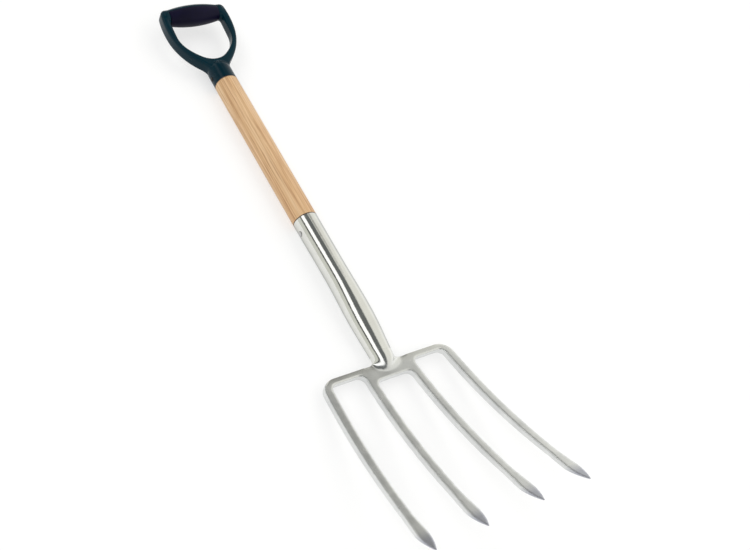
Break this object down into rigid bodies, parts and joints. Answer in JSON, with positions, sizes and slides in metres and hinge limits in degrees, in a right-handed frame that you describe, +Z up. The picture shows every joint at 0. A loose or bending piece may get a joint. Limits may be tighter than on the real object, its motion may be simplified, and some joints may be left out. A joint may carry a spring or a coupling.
{
  "type": "digging fork",
  "caption": "Digging fork with a D-shaped handle, a round wooden shaft and a long steel socket that runs into a forged head of curved, spear-pointed tines.",
  "frame": {"origin": "middle of the fork's length and width, at the plane it rests on when laid on its back", "axes": "+X across the tines, +Y along the shaft towards the handle, +Z up, out of the hollow front of the tines"},
  "size_m": [0.255, 0.9636, 0.107],
  "materials": {
    "handle_plastic": "glossy dark teal-green polypropylene",
    "grip_rubber": "satin dark navy soft grip",
    "rivet_steel": "satin",
    "black_steel": "blackened, satin",
    "ash_wood": "sanded and waxed, straight grain",
    "polished_steel": "mirror-polished stainless steel",
    "head_steel": "polished stainless steel with soft reflections"
  },
  "bodies": {
    "root": {"handle_frame": "handle_plastic", "grip_insert": "grip_rubber", "handle_rivet": "black_steel", "ash_shaft": "ash_wood", "socket": "polished_steel", "socket_rivet": "rivet_steel", "socket_weld": "polished_steel", "fork_head": "head_steel"}
  },
  "joints": []
}
